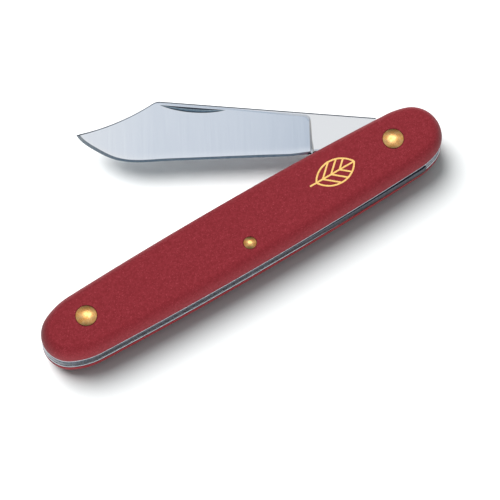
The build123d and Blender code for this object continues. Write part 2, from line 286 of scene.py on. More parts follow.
def blend_colours(tree, share, first, second):
    """A mix of two colours, each a hex value or a socket."""
    node = add(tree, "ShaderNodeMix", {"Factor": share}, data_type="RGBA")
    for socket, colour in ((node.inputs[6], first), (node.inputs[7], second)):
        if isinstance(colour, bpy.types.NodeSocket):
            tree.links.new(colour, socket)
        else:
            socket.default_value = linear(colour)
    return node.outputs[2]


def moulded_nylon():
    """Red nylon from a spark-eroded mould: matt, faintly mottled, with pale specks."""
    material, tree, place = new_material("moulded_red_nylon")
    mottle = grit(tree, place, 0.55, 3.0)
    # The mould's grain is finer than this; it is drawn at 0.18 mm so that it shows.
    specks = grit(tree, place, 0.18, 1.0)
    body = blend_colours(tree, spread(tree, mottle, 0.38, 0.66, 0, 1), "#611C21", "#6A2127")
    flecks = spread(tree, specks, 0.62, 0.76, 0, 0.6)
    colour = blend_colours(tree, flecks, body, "#9A424B")
    grain = relief(tree, specks, 0.8, 0.02)
    return with_surface(
        material, colour, 0.5, 0.0, IOR=1.53, Specular_IOR_Level=0.08, Normal=grain
    )


def rolled_liner_steel():
    """Cold-rolled steel sheet with blanked, tumbled edges: grey, softly bright."""
    material, tree, place = new_material("rolled_liner_steel")
    wear = grit(tree, place, 0.5, 3.0)
    colour = blend_colours(tree, spread(tree, wear, 0.35, 0.65, 0, 1), "#9BA1A8", "#B6BBC1")
    return with_surface(material, colour, spread(tree, wear, 0.3, 0.7, 0.14, 0.24))


def ground_spring_steel():
    """Hardened spring steel, ground across its back, with fine cross lines; its dark slate colour
    is partly painted shade.
    """
    material, tree, place = new_material("ground_spring_steel")
    # Real grinding lines are about 0.05 mm wide; they are drawn at 0.22 mm so that they show.
    lines = grit(tree, place, 0.22, 2.0, stretch=(1, 12, 40))
    shares = spread(tree, lines, 0.35, 0.65, 0, 1)
    # These dark slate colours are steel darkened partly as painted shade: they deepen the shadowed
    # floor that the spring's side mirrors.
    colour = blend_colours(tree, shares, "#3E444F", "#5E6571")
    roughness = spread(tree, lines, 0.3, 0.7, 0.16, 0.26)
    return with_surface(material, colour, roughness, Normal=relief(tree, lines, 0.4, 0.01))


def satin_blade_steel():
    """Stainless blade steel: satin ground faces brushed from spine to edge, ricasso polished."""
    material, tree, place = new_material("satin_blade_steel")
    ground = add(tree, "ShaderNodeAttribute", attribute_name="ground").outputs["Fac"]
    # Belt lines are finer than 0.05 mm; they are drawn at 0.16 mm so that they show.
    fine = grit(tree, place, 0.16, 2.0, stretch=(1, 60, 60), turn=blade_angle)
    broad = grit(tree, place, 1.4, 2.0, stretch=(1, 10, 10), turn=blade_angle)
    brushed = blend_colours(tree, spread(tree, fine, 0.3, 0.7, 0, 1), "#DFE3EA", "#E5E9EE")
    clouded = blend_colours(tree, spread(tree, broad, 0.35, 0.65, 0, 0.3), brushed, "#DCE1E8")
    colour = blend_colours(tree, ground, "#E6E8EB", clouded)
    satin = spread(tree, fine, 0.3, 0.7, 0.14, 0.17)
    inputs = {"Value": ground, "To Min": 0.16, "To Max": satin}
    roughness = add(tree, "ShaderNodeMapRange", inputs).outputs["Result"]
    return with_surface(material, colour, roughness)


def honed_blade_steel(name, first, second, grain, rough):
    """Blade steel as a stone or a wheel leaves it: plain, with faint scratches toward the edge."""
    material, tree, place = new_material(name)
    scratches = grit(tree, place, grain, 2.0, stretch=(1, 4, 4), turn=blade_angle)
    colour = blend_colours(tree, spread(tree, scratches, 0.35, 0.65, 0, 1), first, second)
    return with_surface(material, colour, rough)


def tumbled_brass():
    """Solid brass, headed and tumbled: warm gold with a soft shine and faint clouds of tarnish."""
    material, tree, place = new_material("tumbled_brass")
    tarnish = grit(tree, place, 0.9, 3.0)
    shares = spread(tree, tarnish, 0.4, 0.7, 0, 1)
    colour = blend_colours(tree, shares, "#FFCB86", "#F1AB5E")
    return with_surface(material, colour, spread(tree, tarnish, 0.3, 0.7, 0.2, 0.28))


def gold_foil():
    """Gold-coloured foil pressed into the nylon: warm, even, slightly grained."""
    material, tree, place = new_material("pressed_gold_foil")
    grain = grit(tree, place, 0.3, 2.0)
    colour = blend_colours(tree, spread(tree, grain, 0.35, 0.65, 0, 1), "#E2B25C", "#F2CB84")
    return with_surface(material, colour, 0.42, 0.55)


nylon = moulded_nylon()
liner_steel = rolled_liner_steel()
spring_steel = ground_spring_steel()
blade_steel = satin_blade_steel()
bevel_steel = honed_blade_steel("honed_bevel_steel", "#B2C3D2", "#CDD8E1", 0.3, 0.24)
# The spine's steel is drawn nearly black: painted shade for the dark line along the spine, its
# broken corner and the ricasso's lower edge.
shaded_spine_steel = honed_blade_steel("ground_spine_steel", "#565C67", "#6E747E", 0.25, 0.3)
nick_steel = honed_blade_steel("milled_nick_steel", "#A6B7C2", "#B2C1CB", 0.35, 0.14)
brass = tumbled_brass()
foil = gold_foil()


# ------------------------------------------------ mesh helpers

def add_points(bm, points):
    return [bm.verts.new(Vector(point) * MM) for point in points]


def bridge(bm, lower, upper, closed=True):
    """Quads between two rows of vertices."""
    count = len(lower)
    for i in range(count if closed else count - 1):
        j = (i + 1) % count
        bm.faces.new((lower[i], lower[j], upper[j], upper[i])).smooth = True


def skin(bm, rings):
    """Quads between each closed row of vertices and the next."""
    for lower, upper in zip(rings, rings[1:]):
        bridge(bm, lower, upper)


def fill(bm, loops):
    """A flat face inside the first closed loop and outside the others."""
    edges = []
    for loop in loops:
        for i, vertex in enumerate(loop):
            after = loop[(i + 1) % len(loop)]
            edges.append(bm.edges.get((vertex, after)) or bm.edges.new((vertex, after)))
    filled = bmesh.ops.triangle_fill(bm, use_beauty=True, use_dissolve=False, edges=edges)
    faces = [item for item in filled["geom"] if isinstance(item, bmesh.types.BMFace)]
    for face in faces:
        face.smooth = True
    return faces


def circle(x, y, z, radius, count=64):
    turns = [2 * pi * i / count for i in range(count)]
    return [(x + radius * cos(t), y + radius * sin(t), z) for t in turns]


def in_scene(name, data):
    """A new object in the scene, at the origin."""
    thing = bpy.data.objects.new(name, data)
    bpy.context.scene.collection.objects.link(thing)
    return thing


def to_object(bm, name, finishes):
    """A finished piece from a bmesh, with its normals outward and its object at the origin."""
    bmesh.ops.remove_doubles(bm, verts=bm.verts, dist=0.0005 * MM)
    bmesh.ops.recalc_face_normals(bm, faces=bm.faces)
    mesh = bpy.data.meshes.new(name)
    bm.to_mesh(mesh)
    bm.free()
    piece = in_scene(name, mesh)
    for finish in finishes:
        mesh.materials.append(finish)
    return piece


def baked(piece, name):
    """The piece's modifiers turned into a plain mesh."""
    depsgraph = bpy.context.evaluated_depsgraph_get()
    mesh = bpy.data.meshes.new_from_object(piece.evaluated_get(depsgraph))
    result = in_scene(name, mesh)
    bpy.data.objects.remove(piece)
    return result


def settle(piece, body, stands_for):
    """Says which body a piece rides and hides the CAD nodes that it replaces."""
    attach(piece, body)
    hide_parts(*stands_for)


# ------------------------------------------------ handle

def shoulder_centre(end_x, end_radius, side_centre, side_radius, toward):
    """Centre of the circle that touches the upper side arc and one end arc from inside."""
    end = Vector((end_x, 0))
    to_side = side_centre - end
    span = to_side.length
    near = shoulder_radius - end_radius
    far = side_radius - shoulder_radius
    along = (near ** 2 - far ** 2 + span ** 2) / (2 * span)
    across = sqrt(near ** 2 - along ** 2)
    direction = to_side.normalized()
    normal = Vector((direction.y, -direction.x))
    if normal.x * toward < 0:
        normal.negate()
    return end + direction * along + normal * across


def heading(start, end):
    """The angle of the way from one point to another."""
    return atan2(end.y - start.y, end.x - start.x)


def outline_arcs():
    """The handle's outline as (centre x, centre y, radius, start, sweep), anticlockwise."""
    length = nose_x - tail_x
    side_radius = (length / 2) ** 2 / (2 * side_bow)
    nose = Vector((nose_x - nose_radius, 0))
    tail = Vector((tail_x + tail_radius, 0))
    side = Vector(((nose_x + tail_x) / 2, half_width - side_radius))
    front = shoulder_centre(nose.x, nose_radius, side, side_radius, -1)
    rear = shoulder_centre(tail.x, tail_radius, side, side_radius, 1)
    turns = [heading(front, nose), heading(side, front), heading(side, rear), heading(rear, tail)]
    upper = [
        (front.x, front.y, shoulder_radius, turns[0], turns[1]),
        (side.x, side.y, side_radius, turns[1], turns[2]),
        (rear.x, rear.y, shoulder_radius, turns[2], turns[3]),
    ]
    arcs = [(nose.x, 0, nose_radius, -turns[0], 2 * turns[0])]
    arcs += [(x, y, radius, start, stop - start) for x, y, radius, start, stop in upper]
    arcs.append((tail.x, 0, tail_radius, turns[3], 2 * pi - 2 * turns[3]))
    arcs += [(x, -y, radius, -stop, stop - start) for x, y, radius, start, stop in reversed(upper)]
    return [(x, middle_y + y, radius, start, sweep) for x, y, radius, start, sweep in arcs]


arcs = outline_arcs()


def outline(inset):
    """Points round the handle, drawn in by an inset; every inset gives the same number."""
    points = []
    for x, y, radius, start, sweep in arcs:
        step = 2.0 if radius > 100 else 0.45
        count = ceil(radius * sweep / step)
        for i in range(count):
            turn = start + sweep * i / count
            points.append((x + (radius - inset) * cos(turn), y + (radius - inset) * sin(turn)))
    return points


def rivet_places():
    """X, Y, head radius and dome top of each rivet."""
    places = []
    for name, radius, top in (
        ("pivot_pin", large_head, large_dome_top),
        ("centre_pin", small_head, small_dome_top),
        ("end_pin", large_head, large_dome_top),
    ):
        low, high = box_mm(name)
        places.append(((low.x + high.x) / 2, (low.y + high.y) / 2, radius, top))
    return places


def scale_piece(name, front):
    """A moulded scale: flat face, elliptical rounding, broken edge, and a seat for each head."""
    def level(z):
        return z if front else front_z - z

    bm = bmesh.new()
    height = front_z - front_scale_z
    profile = [(edge_break, 0.0), (edge_break * round_middle, edge_break * round_middle)]
    steps = 20
    for i in range(steps + 1):
        turn = pi / 2 * i / steps
        rise = height * sin(turn)
        if rise > edge_break or i == steps:
            profile.append((edge_rounding * (1 - cos(turn)), rise))
    profile.append((edge_rounding + flat_margin, height))
    rings = []
    for inset, rise in profile:
        z = level(front_scale_z + rise)
        rings.append(add_points(bm, [(x, y, z) for x, y in outline(inset)]))
    skin(bm, rings)
    holes = []
    for x, y, radius, _ in rivet_places():
        seat = radius + seat_fit
        walls = [
            add_points(bm, circle(x, y, level(front_z + up), seat + outward))
            for outward, up in (*seat_mouth, (0.0, -seat_depth))
        ]
        skin(bm, walls)
        fill(bm, [walls[-1]])
        holes.append(walls[0])
    fill(bm, [rings[-1]] + holes)
    fill(bm, [rings[0]])
    piece = to_object(bm, name + "_moulding", [nylon])
    settle(piece, "handle", [name])


def liner_piece(name):
    """A liner: a thin plate with its edges tumbled round."""
    low, high = box_mm(name)
    middle = (low.z + high.z) / 2
    bulge = (high.z - low.z) / 2 / sin(radians(liner_crown))
    bm = bmesh.new()
    levels = []
    for i in range(2 * liner_steps + 1):
        turn = radians(liner_crown) * (i / liner_steps - 1)
        levels.append((bulge * (1 - cos(turn)), middle + bulge * sin(turn)))
    rings = []
    for inset, z in levels:
        rings.append(add_points(bm, [(x, y, z) for x, y in outline(liner_inset + inset)]))
    skin(bm, rings)
    fill(bm, [rings[0]])
    fill(bm, [rings[-1]])
    piece = to_object(bm, name + "_sheet", [liner_steel])
    settle(piece, "handle", [name])


def line_points(points, step=2.0):
    """Points along a chain of straight runs, the last one left out."""
    result = []
    for (x0, y0), (x1, y1) in zip(points, points[1:]):
        count = max(1, ceil(hypot(x1 - x0, y1 - y0) / step))
        result += [(mix(x0, x1, i / count), mix(y0, y1, i / count)) for i in range(count)]
    return result


def spring_outline():
    """The spring from its working end round the tail and back, clockwise seen from the front."""
    rim = outline(spring_inset)
    tail_end_x = tail_x + tail_zone
    sides = [p for p in rim if p[0] > tail_end_x]
    lower_side = [p for p in sides if p[1] < middle_y and p[0] < spring_end_x]
    lower_side.sort(reverse=True)
    end_y = lower_side[0][1] + (lower_side[0][1] - lower_side[1][1]) / 2
    outer = [(spring_end_x, end_y)] + lower_side
    tail_end = [p for p in rim if p[0] <= tail_end_x]
    tail_end.sort(key=lambda p: p[1])
    upper_end_x = tail_block_x - tail_room
    upper_side = sorted(p for p in sides if p[1] > middle_y and p[0] < upper_end_x)
    centre_x, centre_y = tail_block_x + hollow_radius, strip_y + hollow_radius
    steps = 12
    turns = [pi / 2 * i / steps for i in range(steps + 1)]
    reach = hollow_radius
    hollow = [(centre_x - reach * cos(t), centre_y - reach * sin(t)) for t in turns]
    run = line_points([(tail_block_x, upper_side[-1][1]), hollow[0]])
    run += hollow[:-1]
    run += line_points(
        [
            hollow[-1],
            (boss_x[0], strip_y),
            (boss_x[1], boss_y),
            (boss_x[2], boss_y),
            (boss_x[3], spring_arm_y),
            (spring_end_x, spring_arm_y),
            (spring_end_x, end_y),
        ]
    )
    return outer + tail_end + upper_side + run


def spring_piece():
    """The back spring in one piece, with its arm drawn lifted about the spring's hinge."""
    points = []
    for point in spring_outline():
        point = Vector(point)
        if not points or (point - points[-1]).length > least_step:
            points.append(point)
    count = len(points)
    inward = []
    for i, point in enumerate(points):
        before = (point - points[i - 1]).normalized()
        after = (points[(i + 1) % count] - point).normalized()
        along = (before + after).normalized()
        inward.append(Vector((along.y, -along.x)))
    hinge = Vector(flex["pos_m"]).xy / MM
    bm = bmesh.new()
    low, high = slot_z + spring_gap, slot_top - spring_gap
    soft = spring_bevel
    levels = [
        (soft, low),
        (soft * round_middle, low + soft * round_middle),
        (0, low + soft),
        (0, high - soft),
        (soft * round_middle, high - soft * round_middle),
        (soft, high),
    ]
    rings = []
    for inset, z in levels:
        ring = []
        for point, normal in zip(points, inward):
            place = point + normal * inset
            lift = -radians(lift_angle) * smooth_step(*bend_x, place.x)
            arm = place - hinge
            turned = Vector((
                arm.x * cos(lift) - arm.y * sin(lift),
                arm.x * sin(lift) + arm.y * cos(lift),
            ))
            ring.append((*(hinge + turned), z))
        rings.append(add_points(bm, ring))
    skin(bm, rings)
    for ring in (rings[0], rings[-1]):
        for face in fill(bm, [ring]):
            face.smooth = False
    piece = to_object(bm, "back_spring", [spring_steel])
    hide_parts("back_spring_root", "back_spring_arm")
    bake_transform(piece)


# ------------------------------------------------ rivet heads

def head_template():
    """One large domed head standing on its seat at the origin."""
    dome = large_head - rim_width
    rise = large_dome_top - head_rim
    sphere = (dome ** 2 + rise ** 2) / (2 * rise)
    profile = [(large_head, 0.0)]
    for inward, down in ((0, rim_width), (rim_width / 3, rim_width / 3), (rim_width, 0)):
        profile.append((large_head - inward, head_rim - down))
    steps = 14
    for i in range(1, steps):
        out = dome * (1 - i / steps)
        profile.append((out, large_dome_top - sphere + sqrt(sphere ** 2 - out ** 2)))
    bm = bmesh.new()
    rings = [add_points(bm, circle(0, 0, z, radius, count=72)) for radius, z in profile]
    skin(bm, rings)
    top = add_points(bm, [(0, 0, large_dome_top)])[0]
    last = rings[-1]
    for i, vertex in enumerate(last):
        bm.faces.new((vertex, last[(i + 1) % len(last)], top)).smooth = True
    fill(bm, [rings[0]])
    return to_object(bm, "head_template", [brass])


def start_tree(name, inputs, output):
    """A geometry tree with named inputs and one output, and the sockets that its inputs give."""
    tree = bpy.data.node_groups.new(name, "GeometryNodeTree")
    for label, kind in inputs.items():
        tree.interface.new_socket(label, in_out="INPUT", socket_type="NodeSocket" + kind)
    tree.interface.new_socket(output, in_out="OUTPUT", socket_type="NodeSocketGeometry")
    return tree, add(tree, "NodeGroupInput").outputs


def end_tree(tree, shape, finish, output):
    """Ends a tree: its copies become real, and the whole takes its material."""
    real = add(tree, "GeometryNodeRealizeInstances", {"Geometry": shape})
    inputs = {"Geometry": real.outputs["Geometry"], "Material": finish}
    finished = add(tree, "GeometryNodeSetMaterial", inputs)
    add(tree, "NodeGroupOutput", {output: finished.outputs["Geometry"]})
    return tree


def scattering_tree():
    """Puts a copy of one object on each point, turned and sized by the point's attributes."""
    inputs = {"Points": "Geometry", "Head": "Object", "Finish": "Material"}
    tree, given = start_tree("heads_on_points", inputs, "Heads")
    head = add(tree, "GeometryNodeObjectInfo", {"Object": given["Head"], "As Instance": True})
    turn, size = (
        add(tree, "GeometryNodeInputNamedAttribute", {"Name": name}, data_type="FLOAT_VECTOR")
        for name in ("turn", "size")
    )
    inputs = {
        "Points": given["Points"],
        "Instance": head.outputs["Geometry"],
        "Rotation": turn.outputs["Attribute"],
        "Scale": size.outputs["Attribute"],
    }
    copies = add(tree, "GeometryNodeInstanceOnPoints", inputs)
    return end_tree(tree, copies.outputs["Instances"], given["Finish"], "Heads")


def run_tree(piece, tree, values):
    """Adds a tree to a piece and sets its named inputs by their identifiers."""
    modifier = piece.modifiers.new(tree.name, "NODES")
    modifier.node_group = tree
    for item in tree.interface.items_tree:
        if item.item_type == "SOCKET" and item.in_out == "INPUT" and item.name in values:
            modifier[item.identifier] = values[item.name]


def rivet_heads():
    """All six heads, as copies of one, those behind turned over."""
    points, turns, sizes = [], [], []
    for x, y, radius, top in rivet_places():
        across = radius / large_head
        for front in (True, False):
            points.append((x * MM, y * MM, (front_z - seat_depth if front else seat_depth) * MM))
            turns.append((0.0 if front else pi, 0.0, 0.0))
            sizes.append((across, across, top / large_dome_top))
    mesh = bpy.data.meshes.new("rivet_points")
    mesh.from_pydata(points, [], [])
    for name, values in (("turn", turns), ("size", sizes)):
        attribute = mesh.attributes.new(name, "FLOAT_VECTOR", "POINT")
        for item, value in zip(attribute.data, values):
            item.vector = value
    holder = in_scene("rivet_points", mesh)
    template = head_template()
    run_tree(holder, scattering_tree(), {"Head": template, "Finish": brass})
    heads = baked(holder, "rivet_heads")
    bpy.data.objects.remove(template)
    names = [n + s for n in ("pivot", "centre", "end") for s in ("_head_front", "_head_back")]
    settle(heads, "handle", names)


# ------------------------------------------------ leaf inlay

def raised_line_tree():
    """Sweeps a flat oval bead along every edge of a skeleton."""
    inputs = {"Lines": "Geometry", "Width": "Float", "Height": "Float", "Finish": "Material"}
    tree, given = start_tree("bead_on_lines", inputs, "Bead")
    curve = add(tree, "GeometryNodeMeshToCurve", {"Mesh": given["Lines"]})
    inputs = {"Curve": curve.outputs["Curve"]}
    level = add(tree, "GeometryNodeSetCurveNormal", inputs, mode="Z_UP")
    ring = add(tree, "GeometryNodeCurvePrimitiveCircle", {"Resolution": 16, "Radius": 0.5})
    inputs = {"X": given["Width"], "Y": given["Height"], "Z": 1.0}
    across = add(tree, "ShaderNodeCombineXYZ", inputs).outputs["Vector"]
    inputs = {"Geometry": ring.outputs["Curve"], "Scale": across}
    oval = add(tree, "GeometryNodeTransform", inputs)
    inputs = {"Curve": level.outputs["Curve"], "Profile Curve": oval.outputs["Geometry"]}
    bead = add(tree, "GeometryNodeCurveToMesh", {**inputs, "Fill Caps": True})
    return end_tree(tree, bead.outputs["Mesh"], given["Finish"], "Bead")


def leaf_lines():
    """The leaf's outline, midrib, stem and veins as chains of points about its middle."""
    radius = (leaf_half_length ** 2 + leaf_half_width ** 2) / (2 * leaf_half_width)
    centre_y = leaf_half_width - radius
    half_turn = atan2(leaf_half_length, -centre_y)
    chains = []
    steps = 28
    for side in (1, -1):
        turns = [half_turn * (2 * i / steps - 1) for i in range(steps + 1)]
        chains.append([(radius * sin(t), side * (centre_y + radius * cos(t))) for t in turns])
    chains.append([(-leaf_half_length - leaf_stem, 0), (leaf_half_length, 0)])
    vein_step = 2 * leaf_half_length / (leaf_vein_pairs + vein_room)
    direction = Vector((cos(radians(leaf_vein_angle)), sin(radians(leaf_vein_angle))))
    for index in range(leaf_vein_pairs):
        foot = Vector((vein_step * (index + first_vein) - leaf_half_length, 0))
        from_centre = foot - Vector((0, centre_y))
        along = from_centre.dot(direction)
        reach = sqrt(along ** 2 - from_centre.length_squared + radius ** 2) - along
        end = foot + direction * reach
        for side in (1, -1):
            chains.append([(foot.x, 0), (end.x, side * end.y)])
    return chains


def leaf_piece():
    """The leaf's lines as one flat bead, its lower half sunk in the scale."""
    points, edges = [], []
    half_height = leaf_rise + leaf_sunk
    z = front_z + leaf_rise - half_height
    for chain in leaf_lines():
        start = len(points)
        points += [((leaf_x + x) * MM, y * MM, z * MM) for x, y in chain]
        edges += [(start + i, start + i + 1) for i in range(len(chain) - 1)]
    mesh = bpy.data.meshes.new("leaf_lines")
    mesh.from_pydata(points, edges, [])
    holder = in_scene("leaf_lines", mesh)
    values = {"Width": leaf_line * MM, "Height": 2 * half_height * MM, "Finish": foil}
    run_tree(holder, raised_line_tree(), values)
    leaf = baked(holder, "leaf_beading")
    for polygon in leaf.data.polygons:
        polygon.use_smooth = True
    settle(leaf, "handle", ["leaf_inlay"])


# ------------------------------------------------ blade

def belly_points():
    """Points along the curved end of the cutting edge, from a cubic through its named points."""
    knots = [Vector((belly_start, -edge_offset))]
    knots += [Vector(p) for p in belly_through]
    knots.append(Vector((blade_length, tip_y)))
    spans = [(b - a).length for a, b in zip(knots, knots[1:])]
    first = Vector((1, 0))
    last = Vector(tip_direction).normalized()
    # Speeds at the two inner points that keep the curve's bending continuous
    right = []
    for i in (1, 2):
        before = (knots[i] - knots[i - 1]) / spans[i - 1]
        after = (knots[i + 1] - knots[i]) / spans[i]
        right.append(3 * (before * spans[i] + after * spans[i - 1]))
    right[0] -= first * spans[1]
    right[1] -= last * spans[1]
    diagonal = (2 * (spans[0] + spans[1]), 2 * (spans[1] + spans[2]))
    cross = (spans[0], spans[2])
    area = diagonal[0] * diagonal[1] - cross[0] * cross[1]
    speed_1 = (right[0] * diagonal[1] - right[1] * cross[0]) / area
    speed_2 = (right[1] * diagonal[0] - right[0] * cross[1]) / area
    speeds = [first, speed_1, speed_2, last]
    points = []
    for i, span in enumerate(spans):
        for k in range(60):
            t = k / 60
            a = knots[i] * (2 * t ** 3 - 3 * t ** 2 + 1) + knots[i + 1] * (3 * t ** 2 - 2 * t ** 3)
            b = speeds[i] * (t ** 3 - 2 * t ** 2 + t) + speeds[i + 1] * (t ** 3 - t ** 2)
            points.append(a + b * span)
    return points + [knots[-1]]


belly = belly_points()


def edge_y(x):
    """The cutting edge, and the ricasso's lower side behind the heel."""
    if x < belly_start:
        return mix(heel_y, -edge_offset, smooth_step(heel_x - heel_lead, heel_x + heel_run, x))
    for a, b in zip(belly, belly[1:]):
        if x <= b.x:
            return mix(a.y, b.y, (x - a.x) / max(b.x - a.x, 1e-9))
    return tip_y


def edge_lean(x):
    """Cosine of the cutting edge's slope."""
    step = 0.02
    x = min(max(x, plunge_x), blade_length - step)
    return cos(atan2(edge_y(x + step) - edge_y(x - step), 2 * step))


def spine_line_y(x):
    """The spine's straight line."""
    return spine_offset / cos(radians(spine_slope)) + x * tan(radians(spine_slope))


def spine_directions():
    """Along the spine, and away from the blade across it."""
    lean = radians(spine_slope)
    return Vector((cos(lean), sin(lean))), Vector((-sin(lean), cos(lean)))


def strip_line_y(x):
    """Upper border of the ground face."""
    return spine_line_y(x) - mix(*spine_strip, smooth_step(plunge_x, strip_end_x, x))


def clip_y(x):
    """The clip: a hollow arc from the spine's corner to the tip."""
    corner = Vector((corner_x, spine_line_y(corner_x)))
    tip = Vector((blade_length, tip_y))
    chord = tip - corner
    radius = (chord.length ** 2 / 4 + clip_hollow ** 2) / (2 * clip_hollow)
    normal = Vector((-chord.y, chord.x)).normalized()
    centre = (corner + tip) / 2 + normal * (radius - clip_hollow)
    return centre.y - sqrt(max(radius ** 2 - (x - centre.x) ** 2, 0))


def spine_y(x):
    """The blade's upper outline, rounded where the spine meets the clip."""
    soft = corner_rounding
    if x <= corner_x - soft:
        return spine_line_y(x)
    if x >= corner_x + soft:
        return max(clip_y(x), edge_y(x))
    start, end = spine_line_y(corner_x - soft), clip_y(corner_x + soft)
    t = (x - corner_x + soft) / (2 * soft)
    peak = spine_line_y(corner_x)
    return start * (1 - t) ** 2 + 2 * peak * t * (1 - t) + end * t ** 2


def ground_share(x, y):
    """1 on the ground face, 0 on the ricasso and the strip below the spine."""
    across = x - plunge_x
    under = strip_line_y(x) - y
    if across < plunge_radius and under < plunge_radius:
        inside = plunge_radius - hypot(plunge_radius - across, plunge_radius - under)
    else:
        inside = min(across, under)
    return smooth_step(0, plunge_width, inside)


def ground_half(x, y):
    """Half the thickness where the face is ground, flatter just above the cutting bevel."""
    top_y = strip_line_y(x)
    reach = min(max((x - corner_x) / (blade_length + tip_beyond - corner_x), 0), 1)
    top = mix(half_blade, tip_half, reach)
    slope = (top - edge_half) / (top_y + edge_offset)
    half = edge_half + slope * (y + edge_offset)
    above = max((y - edge_y(x)) * edge_lean(x) - band_foot, 0)
    if above < band_width:
        half += tan(radians(band_turn)) * (band_width - above) ** 2 / (2 * band_width)
    extra = plunge_extra * smooth_step(plunge_x + plunge_fade, plunge_x, x)
    return half - extra


def face_half(x, y):
    """Half the thickness of the ground face or, outside it, of the full blade."""
    share = ground_share(x, y)
    return mix(half_blade, min(ground_half(x, y), half_blade), share)


def bevel_half(x, distance):
    """Half the thickness that the cutting bevel, or the ricasso's rounded lower edge, leaves."""
    bevel = bevel_flat + distance * tan(radians(bevel_angle))
    soft = ricasso_rounding
    inner = max(soft - distance, 0)
    rounded = half_blade - soft + sqrt(max(soft ** 2 - inner ** 2, 0))
    start, end = (plunge_x + run for run in bevel_start)
    return mix(rounded, bevel, smooth_step(start, end, x))


def bevel_top(x, low, high):
    """Y of the line where the bevel meets the face."""
    lean = edge_lean(x)
    a, b = low, high
    if bevel_half(x, (b - low) * lean) < face_half(x, b):
        return high
    for _ in range(30):
        middle = (a + b) / 2
        if bevel_half(x, (middle - low) * lean) < face_half(x, middle):
            a = middle
        else:
            b = middle
    return b


def column(x):
    """Heights of the blade's rows at one place along it: y, half thickness and ground share."""
    low, high = edge_y(x), spine_y(x)
    soft = min(spine_chamfer[0], (high - low) / 3)
    top = high - soft
    strip = min(strip_line_y(x), top)
    bevel = min(bevel_top(x, low, strip), strip)
    lean = edge_lean(x)
    rows = [(low, bevel_half(x, 0))]
    shares = [i / face_rows for i in range(face_rows)] + [1 - s for s in strip_rows]
    heights = [mix(bevel, strip, share) for share in sorted(set(shares))]
    heights += [mix(strip, top, share) for share in (0.5, 1.0)]
    rows += [(y, min(face_half(x, y), bevel_half(x, (y - low) * lean))) for y in heights]
    rim = rows[-1][1]
    deepest = 0.6 * rim
    depth = min(spine_chamfer[1], deepest)
    for share in (i / chamfer_rows for i in range(1, chamfer_rows + 1)):
        rows.append((top + soft * share, rim - depth * share))
    return [(y, half, ground_share(x, y)) for y, half in rows]


def column_places():
    """Where the columns stand, close together where the shape turns fast."""
    places, start = [], tang_join_x
    for end, spacing in column_runs:
        places += [x for x, _ in line_points([(start, 0), (end, 0)], spacing)]
        start = end
    return places + [blade_length]


def blade_place(x, y, z):
    """From the blade's drawing to the open blade's place."""
    turn = radians(blade_angle)
    return (x * cos(turn) + y * sin(turn), x * sin(turn) - y * cos(turn), blade_z + z)


def tang_outline():
    """Round the tang from the ricasso's lower side to the spine."""
    closed = radians(-90 + closed_lean)
    opened = radians(90 + spine_slope)
    half_flat = atan2(sqrt(tang_radius ** 2 - tang_flat ** 2), tang_flat)
    out = Vector((cos(closed), sin(closed)))
    along = Vector((-out.y, out.x))
    kick = out * tang_flat + along * kick_reach
    points = [Vector(ricasso_low), kick]
    start, end = closed - half_flat, opened + half_flat - 2 * pi
    steps = 40
    for i in range(steps + 1):
        turn = mix(start, end, i / steps)
        points.append(Vector((cos(turn), sin(turn))) * tang_radius)
    line, away = spine_directions()
    points.append(line * shoulder_x + away * tang_flat)
    points.append(line * shoulder_x + away * (spine_offset - spine_chamfer[0]))
    return points, line * shoulder_x + away * spine_offset


def blade_body():
    """The blade without its nail nick: two sheets of rows and columns, joined round the rim."""
    bm = bmesh.new()
    ground = bm.verts.layers.float.new("ground")
    places = column_places()
    sheets = {1: [], -1: []}
    for x in places:
        rows = column(x)
        for side, sheet in sheets.items():
            vertices = add_points(bm, [blade_place(x, y, side * half) for y, half, _ in rows])
            for vertex, (_, _, share) in zip(vertices, rows):
                vertex[ground] = share
            sheet.append(vertices)
    last_row = len(sheets[1][0]) - 1
    corner_row = last_row - chamfer_rows
    for sheet in sheets.values():
        for x, before, after in zip(places, sheet, sheet[1:]):
            for i in range(last_row):
                face = bm.faces.new((before[i], before[i + 1], after[i + 1], after[i]))
                face.smooth = True
                # Finish 2, the spine steel, is painted shade: it darkens the spine, its broken
                # corner and the ricasso's lower edge.
                honed = i == 0 and x > plunge_x
                face.material_index = 1 if honed else 2 if i >= corner_row else 0
                if (i < 2 and x > heel_x) or i == corner_row:
                    bm.edges.get((before[i], after[i])).smooth = False
    front, back = sheets[1], sheets[-1]
    for i, finish in ((0, 1), (last_row, 2)):
        for k, x in enumerate(places[:-1]):
            face = bm.faces.new((front[k][i], front[k + 1][i], back[k + 1][i], back[k][i]))
            face.smooth = True
            face.material_index = finish if x > plunge_x or i else 2
    rims = {}
    around, corner = tang_outline()
    for side, sheet in sheets.items():
        first = sheet[0]
        inner = add_points(bm, [blade_place(p.x, p.y, side * half_blade) for p in around])
        low = side * (half_blade - spine_chamfer[1])
        rim = add_points(bm, [blade_place(corner.x, corner.y, low)])
        for face in fill(bm, [first[:-chamfer_rows] + inner[::-1]]):
            face.smooth = False
        broken = bm.faces.new(first[corner_row:] + rim + inner[-1:])
        broken.smooth = False
        broken.material_index = 2
        rims[side] = first[:1] + inner + rim + first[-1:]
    bridge(bm, rims[1], rims[-1], closed=False)
    return to_object(bm, "blade_body", [blade_steel, bevel_steel, shaded_spine_steel, nick_steel])


